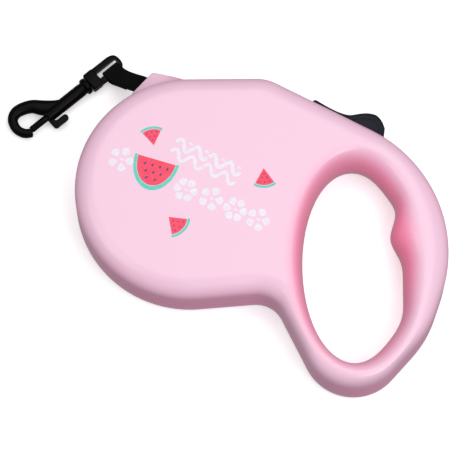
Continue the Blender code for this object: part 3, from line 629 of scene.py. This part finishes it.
printing = {
    "face": 31.0 * mm, "inkThick": 0.06 * mm,
    # tip (x, y) and radius in mm, direction and half angle in degrees
    "halfSlice": ((-19.1, 3.5), 10.7, 280.4, 90.0, 1.42),   # the last deepens it into a half ellipse
    "wedges": (((-23.8, 9.1), 9.4, 126.4, 32.8), ((27.0, 22.9), 9.7, -58.8, 32.0),
               ((-1.3, -18.7), 10.1, -16.0, 36.5)),
    # rows of seeds in the half slice: distance from its edge, count, step, shift, in mm
    "seedRows": ((3.3, 4, 3.7, 0.5), (6.7, 3, 3.7, 0.0), (9.9, 2, 4.2, -0.3)),
    # seeds in a wedge: share of its radius, share of its half angle
    "wedgeSeeds": ((0.3, 0.0), (0.5, -0.45), (0.5, 0.45), (0.73, -0.62), (0.73, 0.0), (0.73, 0.62)),
    "seedSizes": (0.78, 0.45),
    # waves from one corner: lift, size, half width; then the step of a wave and the dots over it
    "waveStart": np.array([-15.5, 13.2]), "waves": ((2.2, 2.3, 0.95), (-3.1, 2.2, 0.85)), "waveStep": 8.5,
    "dots": (6.4, 4.6, 4),
    # blossoms: centre, radius, petals
    "blossoms": (((-34.3, -3.9), 5.8, 5), ((-0.6, -3.3), 5.6, 6), ((12.0, -1.6), 5.6, 5),
                 ((24.4, -1.2), 5.6, 6), ((36.0, -0.6), 5.4, 5)),
    "petalWidth": 4.0, "petalFoot": 1.7,
}


def sector(tip, inner, outer, first, last, count=48):
    # ring sector between two radii, in mm and degrees
    a = np.radians(np.linspace(first, last, count))
    spoke = np.column_stack([np.cos(a), np.sin(a)])
    tip = np.asarray(tip)
    if inner <= 0:
        return np.vstack([tip + outer * spoke, tip]) * mm
    return np.vstack([tip + outer * spoke, tip + inner * spoke[::-1]]) * mm


def turnedAt(centre, angle, x, y):
    # points turned by an angle and moved to a centre, from mm
    c, s = math.cos(angle), math.sin(angle)
    return (np.asarray(centre) + np.column_stack([c * x - s * y, s * x + c * y])) * mm


def inkPlate(outline, level=0, thick=1.0):
    # a flat closed plate over the face; level lifts it over the ink beneath
    low = printing["face"] - 0.01 * mm
    high = printing["face"] + printing["inkThick"] * (level + thick)
    return np.array([np.column_stack([outline, np.full(len(outline), z)]) for z in (low, high)])


def seedOutline(centre, angle, size):
    # a drop: a flattened circle whose radius grows with the cube of the cosine towards its tip
    a = np.radians(np.arange(0, 360, 20))
    r = size * (1 + 0.45 * np.cos(a) ** 3)
    return turnedAt(centre, angle, r * np.cos(a), 0.62 * r * np.sin(a))


def makeFruit(paints):
    # melon slices: rind, flesh and seeds, each its own thin ink, with a pale gap of bare case left between
    # rind and flesh
    flesh, rind, seeds = [], [], []
    tip, radius, aim, half, deepen = printing["halfSlice"]
    down = math.radians(aim)
    deep, over = np.array([math.cos(down), math.sin(down)]), np.array([-math.sin(down), math.cos(down)])
    for shapes, inner, outer, spread in ((flesh, 0, 0.845, 0), (rind, 0.862, 1.0, 1)):
        shape = sector(tip, radius * inner, radius * outer, aim - half - spread, aim + half + spread)
        depth = (shape - np.array(tip) * mm) @ deep
        shapes.append(shape + (depth * (deepen - 1))[:, None] * deep)
    big, small = printing["seedSizes"]
    for away, count, step, shift in printing["seedRows"]:
        for k in range(count):
            centre = np.array(tip) + away * deep + ((k - (count - 1) / 2) * step + shift) * over
            seeds.append(seedOutline(centre, down + 2.5 + 0.25 * k, big))
    for tip, radius, aim, half in printing["wedges"]:
        flesh.append(sector(tip, 0, radius * 0.855, aim - half, aim + half, 20))
        rind.append(sector(tip, radius * 0.885, radius, aim - half - 2, aim + half + 2, 20))
        down = math.radians(aim)
        for share, turn in printing["wedgeSeeds"]:
            a = down + turn * math.radians(half)
            centre = np.array(tip) + share * radius * np.array([math.cos(a), math.sin(a)])
            seeds.append(seedOutline(centre, a + math.pi, small))
    return [
        surface("melonFlesh", [inkPlate(shape) for shape in flesh], paints["flesh"], crease=20),
        surface("melonRind", [inkPlate(shape) for shape in rind], paints["rind"], crease=20),
        surface("melonSeeds", [inkPlate(shape, 1, 0.6) for shape in seeds], paints["seed"], crease=20),
    ]


def stroke(line, halfWidth):
    # plate of even width along a line in mm, with rounded ends
    line = evenly(np.asarray(line, dtype=float), 90)
    along = unit(np.gradient(line, axis=0))
    left = np.column_stack([-along[:, 1], along[:, 0]])
    share = np.linspace(0.0, 1.0, len(line))
    ends = np.minimum(share, 1 - share) * len(line) * 0.25
    width = (halfWidth * np.sqrt(np.clip(1 - (1 - np.clip(ends / halfWidth, 0, 1)) ** 2, 0.02, 1)))[:, None]
    return inkPlate(np.vstack([line + width * left, (line - width * left)[::-1]]) * mm)


def petalOutline(centre, angle, length, width):
    # petal: width follows the sine of its length's share, widest past the middle
    t = 0.5 - 0.5 * np.cos(np.linspace(0.0, math.pi, 21))
    half = width / 2 * np.sin(math.pi * t**1.35)
    t = t - 0.04 * np.sin(2 * math.pi * t)
    x, y = np.r_[t * length, t[::-1][1:-1] * length], np.r_[half, -half[::-1][1:-1]]
    return turnedAt(centre, angle, x, y)


def makeWhitePrint(paint):
    # waves, dots and blossoms in white ink; each wave is two strokes, so a plate stays simple
    plates = []
    start, step = printing["waveStart"], printing["waveStep"]
    t = np.linspace(0.0, 4 * step, 240)
    for lift, size, half in printing["waves"]:
        wave = start + np.column_stack([t, lift + 0.02 * t + size * np.sin(t * 2 * math.pi / step)])
        plates += [stroke(wave[k:k + 121], half) for k in (0, 119)]
    over, up, count = printing["dots"]
    plates += [inkPlate(seedOutline(start + np.array([k * step + over, up]), 0.0, 1.0)) for k in range(count)]
    for centre, size, petals in printing["blossoms"]:
        for k in range(petals):
            a = math.radians(12.0) + 2 * math.pi * k / petals
            foot = np.array(centre) + printing["petalFoot"] * np.array([math.cos(a), math.sin(a)])
            plates.append(inkPlate(petalOutline(foot, a, size - 1.3, printing["petalWidth"])))
        plates.append(inkPlate(seedOutline(centre, 0.0, 0.95)))
    return surface("whitePrint", plates, paint, crease=20)


# ---- tape and coil

tape = {
    "width": 9.0 * mm, "thick": 1.0 * mm, "bendRadius": 36.6 * mm, "bendLength": 18.0 * mm,
    "loopRun": 11.2 * mm, "closeUp": 8.5 * mm, "seamStep": 1.35 * mm, "twist": (19.0 * mm, 30.5 * mm),
    "loopH": 6.7 * mm, "loopRadius": 2.75 * mm, "railL": 3.2 * mm, "length": 80 * mm,
    "inside": np.array([(-9.38, 44.63, 15.5), (-17.2, 43.0, 15.5), (-25.0, 41.35, 15.5), (-32.2, 39.85, 15.5),
                        (-38.7, 38.6, 15.5), (-45.08, 37.73, 15.5)]) * mm,
}
hook = {
    # h runs along it and l across it, both level
    "origin": np.array([-63.2, 47.6, 4.4]) * mm,
    "along": np.array([-0.375, -0.927, 0.0]) / math.hypot(0.375, 0.927),
    "side": np.array([0.927, -0.375, 0.0]) / math.hypot(0.375, 0.927),
}


def hookPlace(points):
    # (h, l, z) in the hook's own frame, in mm, as places in the world
    points = np.asarray(points, dtype=float) * mm
    return (hook["origin"] + points[..., 0:1] * hook["along"] + points[..., 1:2] * hook["side"]
            + points[..., 2:3] * np.array([0, 0, 1.0]))


def approach(distance, under):
    # the tape before the eye's rail: an even bend in plan that falls from the mouth to the rail;
    # the layer beneath starts under the rail and closes up to the upper one
    start = hookPlace([tape["loopH"] / mm, tape["railL"] / mm, 0.0])
    heading = math.atan2(-hook["side"][1], -hook["side"][0]) + distance / tape["bendRadius"]
    sideways = np.column_stack([np.sin(heading), -np.cos(heading), 0 * distance])
    points = start - tape["bendRadius"] * hook["along"] - tape["bendRadius"] * sideways
    low = start[2] + tape["loopRadius"]
    points[:, 2] = low + (mid - low) * ease(distance / tape["bendLength"])
    if under:
        opened = 2 * tape["loopRadius"] - tape["seamStep"]
        points[:, 2] -= tape["seamStep"] + opened * (1 - ease(distance / tape["closeUp"]))
    return points, sideways


def tapeRoute():
    # middle line and width vectors from the coil, through a quarter twist, to the sewn end
    inside = smoothCurve(tape["inside"], 90)
    run = np.r_[0.0, np.cumsum(np.linalg.norm(np.diff(inside, axis=0), axis=1))]
    ahead = unit(np.gradient(inside, axis=0))
    flat = unit(np.column_stack([ahead[:, 1], -ahead[:, 0], 0 * run]))
    first, last = tape["twist"]
    turn = (ease((run - first) / (last - first)) * math.pi / 2)[:, None]
    insideWide = np.cos(turn) * np.array([0, 0, 1.0]) + np.sin(turn) * flat
    upper, upperWide = approach(np.linspace(tape["bendLength"], 0.0, 60)[1:], False)
    a = np.linspace(0.0, math.pi, 26)[1:-1]
    turnPoints = hookPlace(np.column_stack([0 * a + tape["loopH"] / mm,
                                            (tape["railL"] - tape["loopRadius"] * np.sin(a)) / mm,
                                            tape["loopRadius"] * np.cos(a) / mm]))
    turnWide = np.tile(-hook["along"], (len(a), 1))
    lower, lowerWide = approach(np.linspace(0.0, tape["loopRun"], 36), True)
    return (np.vstack([inside, upper, turnPoints, lower]),
            np.vstack([insideWide, upperWide, turnWide, lowerWide]))


def ribbonGrid(centre, wide, halfWide, halfThick):
    # flat section with rounded edges carried along a line; also its map in mm, along and across
    ahead = unit(np.gradient(centre, axis=0))
    across = unit(wide - (wide * ahead).sum(axis=1, keepdims=True) * ahead)
    up = np.cross(ahead, across)
    edge = np.radians([-90, -45, 0, 45, 90])
    flat, bulge = np.linspace(-0.9, 0.9, 9), 0.92 + 0.08 * np.cos(edge)
    x = np.r_[flat, bulge, flat[::-1], -bulge]
    y = np.r_[np.full(9, -1.0), np.sin(edge), np.full(9, 1.0), -np.sin(edge)]
    grid = (centre[:, None] + (halfWide * x)[None, :, None] * across[:, None]
            + (halfThick * y)[None, :, None] * up[:, None])
    return grid, mapAlong(centre, x * halfWide)


def mapAlong(centre, across):
    # a piece's map in mm: distance run along its middle line, place across it
    run = np.r_[0.0, np.cumsum(np.linalg.norm(np.diff(centre, axis=0), axis=1))]
    return np.stack(np.broadcast_arrays(run[:, None] / mm, (across / mm)[None, :]), axis=-1).reshape(-1, 2)


def makeTape(paint):
    centre, wide = tapeRoute()
    grid, mapped = ribbonGrid(centre, wide, tape["width"] / 2, tape["thick"] / 2)
    return surface("leashTape", [grid], paint, mapped=mapped, crease=50), centre


# rows from the rail, threads in a row; then half length, rise, half width and half height of a thread
stitching = {
    "rows": np.linspace(3.4, 10.2, 5) * mm, "places": np.linspace(-3.4, 3.4, 6) * mm,
    "thread": (0.5 * mm, 0.1 * mm, 0.13 * mm, 0.1 * mm),
}


def makeStitches(paint):
    # threads across the two layers of the sewn end, each a low arch
    distance = stitching["rows"]
    reach, arch, halfWide, halfTall = stitching["thread"]
    upright = np.array([0, 0, 1.0])
    upper, wide = approach(distance, False)
    ahead = unit(np.cross(wide, upright))
    t = np.linspace(-1.0, 1.0, 9)
    grids = []
    for point, across, along in zip(upper, wide, ahead):
        for place in stitching["places"]:
            line = (point + place * across + (reach * t)[:, None] * across
                    + (tape["thick"] / 2 + arch * (1 - t**2))[:, None] * upright)
            side, up = np.tile(along, (len(t), 1)), np.tile(upright, (len(t), 1))
            grids.append(sweep(line, side, up, halfWide, halfTall, 8))
    return surface("endStitches", grids, paint)


coil = {"inner": 20.5 * mm, "outer": 44.3 * mm, "turns": 23, "thick": 0.92 * mm, "leaves": 101.9}


def makeCoil(paint):
    # a spiral whose radius grows evenly with its angle, ending where the tape leaves
    steps = coil["turns"] * 72
    a = math.radians(coil["leaves"]) - np.linspace(2 * math.pi * coil["turns"], 0.0, steps + 1)
    r = np.linspace(coil["inner"], coil["outer"], steps + 1)
    outward = np.column_stack([np.cos(a), np.sin(a), 0 * a])
    centre = r[:, None] * outward + np.array([0, 0, mid])
    half = tape["width"] / 2
    corners = ((-0.5, -half), (0.5, -half), (0.5, half), (-0.5, half))
    grid = np.stack([centre + x * coil["thick"] * outward + np.array([0, 0, z]) for x, z in corners], axis=1)
    mapped = mapAlong(centre, np.array(corners)[:, 1])
    return surface("woundCoil", [grid], paint, mapped=mapped)


# ---- brake button

button = {
    "top": ((68.8, 61.3), (68.8, 65.6), (67.9, 68.3), (66.6, 70.3), (64.9, 71.8), (63.0, 72.9), (60.5, 73.5),
            (57.0, 72.6), (53.7, 70.6), (50.0, 67.9), (46.5, 66.9), (42.0, 66.55), (36.0, 66.8), (32.6, 67.1),
            (31.3, 66.5), (31.05, 65.2), (31.05, 61.3)),
    "ends": (31.05 * mm, 68.8 * mm), "floor": 61.3 * mm, "halfDepth": 7.2 * mm, "edge": 0.9 * mm,
    # the sides from their middle out: distance from the outline, depth below the side, in mm
    "sideSteps": ((3.6, 0.45), (3.3, 0.42), (3.15, 0.05), (2.0, 0.0), (1.85, 0.3), (1.2, 0.3), (1.05, 0.0)),
    "ribs": (66.9, 65.0, 62.5, 59.4, 56.4), "ribReach": 6.2 * mm, "ribSize": (0.42 * mm, 0.36 * mm),
}


def buttonLine():
    # smooth over the top, straight down both ends and along the floor
    upper = smoothCurve(np.array(button["top"][1:-1]), 160)
    return evenly(np.vstack([button["top"][0], upper, button["top"][-1]]) * mm, 260, closed=True)


def makeButton(paint):
    # side view carried across its depth, rims rounded; a shallow step follows the rim on each side
    line = buttonLine()
    half, edge = button["halfDepth"], button["edge"]
    rows = [(away * mm, -half + deep * mm) for away, deep in button["sideSteps"]]
    for a in np.linspace(0.0, math.pi / 2, 6)[1:]:
        rows.append((edge * (1 - math.sin(a)), -half + edge * (1 - math.cos(a))))
    rows += [(away, -z) for away, z in rows[::-1]]
    grid = [np.column_stack([shrunk(line, away), np.full(len(line), mid + z)]) for away, z in rows]
    return surface("thumbButton", [np.array(grid)], paint, crease=40)


def shrunk(line, away):
    # outline moved inwards, never past 0.42 of the local thickness
    moved = inset(line, away)
    floorY, roof = button["floor"], np.interp(moved[:, 0], *topByX())
    moved[:, 0] = np.clip(moved[:, 0], button["ends"][0] + away, button["ends"][1] - away)
    limit = np.minimum(away, 0.42 * np.maximum(roof - floorY, mm))
    return np.column_stack([moved[:, 0], np.clip(line[:, 1], floorY + limit, roof - limit)])


def topByX():
    # the button's top line in order of x
    upper = smoothCurve(np.array(button["top"][1:-1]), 160) * mm
    order = np.argsort(upper[:, 0])
    return upper[order, 0], upper[order, 1]


def makeButtonRibs(paint):
    # low ribs across the thumb's side of the button
    xs, ys = topByX()
    near = 0.3 * mm
    t = np.linspace(-1.0, 1.0, 15)
    ends = np.sqrt(np.clip(1 - t**8, 0.03, 1))
    wide, tall = (size * ends for size in button["ribSize"])
    grids = []
    for x in np.array(button["ribs"]) * mm:
        slope = float(np.interp(x + near, xs, ys) - np.interp(x - near, xs, ys)) / (2 * near)
        normal = unit(np.array([-slope, 1.0, 0.0]))
        along = np.array([normal[1], -normal[0], 0.0])
        line = np.column_stack([0 * t + x, 0 * t + np.interp(x, xs, ys), mid + t * button["ribReach"]])
        line = line + normal * 0.02 * mm
        grids.append(sweep(line, np.tile(along, (15, 1)), np.tile(normal, (15, 1)), wide, tall, 12))
    return surface("buttonRibs", grids, paint)


# ---- bolt hook

snap = {
    # crown: h, l, half width, half height; turned parts: radius, h; flat parts: h, l; all in mm
    "crown": ((35.0, -1.2, 1.5, 2.3), (39.0, -2.2, 2.8, 2.5), (43.4, -4.6, 3.7, 2.7), (47.7, -9.1, 3.2, 2.8),
              (54.1, -11.4, 2.9, 2.8), (58.5, -9.8, 2.5, 2.7), (60.2, -5.2, 2.25, 2.6),
              (58.8, -0.9, 2.2, 2.5), (55.4, 1.6, 2.1, 2.3)),
    "barrel": ((1.8, 20.0), (3.3, 20.0), (3.95, 20.15), (4.15, 20.6), (4.15, 21.7), (3.95, 22.2),
               (3.4, 22.45), (3.0, 22.9), (3.05, 23.4), (3.2, 24.0), (3.2, 44.6), (3.05, 45.3), (2.6, 45.6),
               (2.0, 45.6), (2.0, 27.2), (0.6, 27.0), (0.6, 25.3), (2.4, 25.2), (2.4, 23.3), (1.8, 23.3)),
    "rodSeat": ((0.001, 32.0), (2.0, 32.0), (2.0, 55.6), (0.001, 55.6)),
    "thumbSlot": ((36.2, 0.0), (47.0, 0.0), (47.0, 6.0), (36.2, 6.0)),
    "eye": ((19.2, 4.7), (4.2, 4.7), (1.8, 4.1), (0.55, 2.9), (0.1, 1.2), (0.1, -1.2), (0.55, -2.9),
            (1.8, -4.1), (4.2, -4.7), (19.2, -4.7)),
    "eyeHole": ((1.9, -1.7), (13.6, -1.7), (13.6, 1.7), (1.9, 1.7)),
    "block": ((13.9, -4.6), (19.5, -4.6), (19.5, 4.6), (13.9, 4.6)),
    "neck": ((0.05, 19.0), (1.5, 19.0), (1.5, 23.7), (2.1, 23.9), (2.1, 24.5), (1.9, 24.7), (0.05, 24.7)),
    "rod": ((0.05, 40.0), (1.35, 40.0), (1.65, 40.3), (1.65, 54.7), (1.35, 55.2), (0.05, 55.2)),
    "knob": ((43.6, 0.5), (46.0, 0.5), (46.0, 6.4), (45.2, 7.4), (38.2, 7.4), (37.4, 6.6), (37.4, 5.0),
             (38.2, 4.3), (42.8, 4.3), (43.6, 3.6)),
    # half thickness, rounding of the rims, steps of the rounding
    "eyePlate": (1.5, 0.85, 5), "blockPlate": (2.9, 0.8, 5), "knobPlate": (1.3, 0.45, 4),
}


def onHookAxis(points):
    # (x, y, along) round the hook's own axis, in mm
    return hookPlace(np.stack([points[..., 2], points[..., 0], points[..., 1]], axis=-1))


def alongHook(profile, sides):
    # profile of (radius, h) turned round the hook's own axis
    return onHookAxis(roundTurn(profile, sides))


def hookPlate(outline, size):
    # level plate of the hook from an anticlockwise outline
    half, rounding, steps = size
    return hookPlace(slab(outline, -half, half, rounding, steps))


def makeHook(paint):
    # barrel with a thumb slot, and the crown's oval section carried along its curve
    barrel = surface("hookBarrel", [alongHook(snap["barrel"], 48)], paint, wrapRows=True)
    slot = surface("knobSlot", [hookPlace(slab(np.array(snap["thumbSlot"]), -1.6, 1.6, 0.0, 1))], paint)
    carve(barrel, [slot])
    curve = smoothCurve(snap["crown"], 90)
    plan = hookPlace(np.column_stack([curve[:, :2], 0 * curve[:, 0]]))
    ahead = unit(np.gradient(plan, axis=0))
    up = np.tile(np.array([0, 0, 1.0]), (len(plan), 1))
    side = np.cross(up, ahead)
    share = np.linspace(0.0, 1.0, len(plan))
    close = np.sqrt(np.clip(1 - ((share - 0.98) / 0.022).clip(0, 1) ** 2, 0.35, 1))
    wide, tall = curve[:, 2] * mm * close, curve[:, 3] * mm * close
    crown = surface("hookCrown", [sweep(plan, side, up, wide, tall, 28, 2.4)], paint, crease=60)
    rodSeat = surface("rodSeat", [alongHook(snap["rodSeat"], 32)], paint)
    carve(crown, [rodSeat])
    drop([slot, rodSeat])
    return barrel, crown


def makeEye(paint):
    # slotted loop and block in one plate, with the neck that turns in the hook's collar
    plate = evenly(softened(snap["eye"], 1.0, 5), 150, True)
    loop = surface("eyeLoop", [hookPlate(plate, snap["eyePlate"])], paint)
    hole = softened(snap["eyeHole"], 0.3, 4)
    tool = surface("eyeHole", [hookPlace(slab(hole, -4.0, 4.0, 0.0, 1))], paint)
    carve(loop, [tool])
    drop([tool])
    block = hookPlate(evenly(softened(snap["block"], 1.0, 5), 100, True), snap["blockPlate"])
    return loop, surface("eyeBlock", [block, alongHook(snap["neck"], 32)], paint)


def makeBolt(paint):
    # the rod with the thumb's knob beside it
    knob = evenly(softened(snap["knob"], 0.7, 5), 120, True)
    return surface("boltKnob", [alongHook(snap["rod"], 40), hookPlate(knob, snap["knobPlate"])], paint)


# coil radius, wire radius, first and last end along its axis, all in mm, and turns
springs = {"boltSpring": (1.27, 0.26, 27.6, 39.9, 7.0), "brakeSpring": (2.6, 0.42, 40.1, 54.9, 5.5)}


def makeSpring(name, paint, stand):
    # round wire carried along a helix whose pitch closes up at both ends; stand puts (x, y, along) in place
    radius, wire, first, last, turns = springs[name]
    a = np.linspace(0.0, 2 * math.pi * turns, int(turns * 28))
    share = a / a[-1]
    rise = ease(share) * 0.35 + share * 0.65
    height = first + wire + (last - first - 2 * wire) * rise
    centre = np.column_stack([radius * np.cos(a), radius * np.sin(a), height])
    out = np.column_stack([np.cos(a), np.sin(a), 0 * a])
    ahead = unit(np.gradient(centre, axis=0))
    return surface(name, [stand(sweep(centre, out, np.cross(ahead, out), wire, wire, 10))], paint)


def underBrake(points):
    # (x, y, along) round the brake's upright axis, in mm
    return np.stack([46.0 + points[..., 0], points[..., 2], 15.5 + points[..., 1]], axis=-1) * mm


# ---- build

addCamera()
addLights()
floorPlan = ((-3, -3), (3, -3), (3, 3), (-3, 3))
floorGrid = np.array([[(x, y, z) for x, y in floorPlan] for z in (-0.02, -0.0002)], dtype=float)
floor = surface("floor", [floorGrid], floorFinish())
floor.visible_diffuse = floor.visible_glossy = False      # its light doesn't reach the case from below
print("stage, camera and lights done")

pinkPaint, blackPaint, buttonPaint = pinkCase(), blackPlastic(), buttonPlastic()
webPaint, reelPaint, steelPaint = webbing(), reelPlastic(), brightSteel()
inks = {
    "flesh": ink("fleshInk", rgb(243, 56, 88), rgb(247, 70, 99)),
    "rind": ink("rindInk", rgb(82, 203, 184), rgb(98, 212, 194)),
    "seed": ink("seedInk", rgb(62, 47, 118), rgb(76, 58, 134)),
    "white": ink("whiteInk", rgb(232, 224, 236), rgb(240, 233, 243)),
}

openings, wells = caseTools()
upperCase = makeShell("upperCase", 1, pinkPaint, openings)
lowerCase = makeShell("lowerCase", -1, pinkPaint, openings + wells)
seamLip = makeSeamLip(pinkPaint, openings)
screwBosses = makeScrewBosses(pinkPaint)
drop(openings + wells)
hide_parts("upper_shell")
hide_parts("lower_shell")
print("case done")

fruit = makeFruit(inks)
whitePrint = makeWhitePrint(inks["white"])
print("print done")

leashTape, route = makeTape(webPaint)
sewnEnd, _ = approach(np.array([tape["loopRun"]]), False)
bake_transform(leashTape)
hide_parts("leash_tape", "leash_loop")
tapeLength = float(np.linalg.norm(np.diff(route, axis=0), axis=1).sum())
woundCoil = makeCoil(webPaint)
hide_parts("wound_leash")
endStitches = makeStitches(webPaint)
print("tape and coil done, free run", round(tapeLength, 4))

thumbButton = makeButton(buttonPaint)
buttonRibs = makeButtonRibs(buttonPaint)
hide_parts("thumb_button")
barrel, crown = makeHook(blackPaint)
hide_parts("hook_body")
eyeLoop, eyeBlock = makeEye(blackPaint)
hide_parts("swivel_eye")
boltKnob = makeBolt(blackPaint)
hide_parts("hook_bolt")
boltSpring = makeSpring("boltSpring", steelPaint, onHookAxis)
ends = hookPlace([(27.6, 0, 0), (39.9, 0, 0)]).tolist()      # the spring's own ends
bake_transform(boltSpring)
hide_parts("bolt_spring")
brakeSpring = makeSpring("brakeSpring", steelPaint, underBrake)
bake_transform(brakeSpring)
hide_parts("brake_spring")
print("button, hook and springs done")

for piece in [upperCase, lowerCase, seamLip, screwBosses, whitePrint] + fruit:
    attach(piece, "casing")
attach(woundCoil, "reel")
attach(endStitches, "leash_end")
for piece in (thumbButton, buttonRibs):
    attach(piece, "thumb_button")
for piece in (barrel, crown):
    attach(piece, "hook")
for piece in (eyeLoop, eyeBlock):
    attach(piece, "eye")
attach(boltKnob, "bolt")

carried = {
    "steel": (steelPaint, ["axle_post", "lower_washer", "upper_washer", "power_spring", "pawl_pin"]
              + [f"case_screw_{k}" for k in range(1, 6)]),
    "reel": (reelPaint, ["reel_drum", "spring_cover", "brake_pawl"]),
    "black": (blackPaint, ["brake_carrier", "mouth_bush"]),
}
for paint, names in carried.values():
    for name in names:
        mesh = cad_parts[name].data
        mesh.materials.clear()
        mesh.materials.append(paint.material)
print("carried nodes painted")
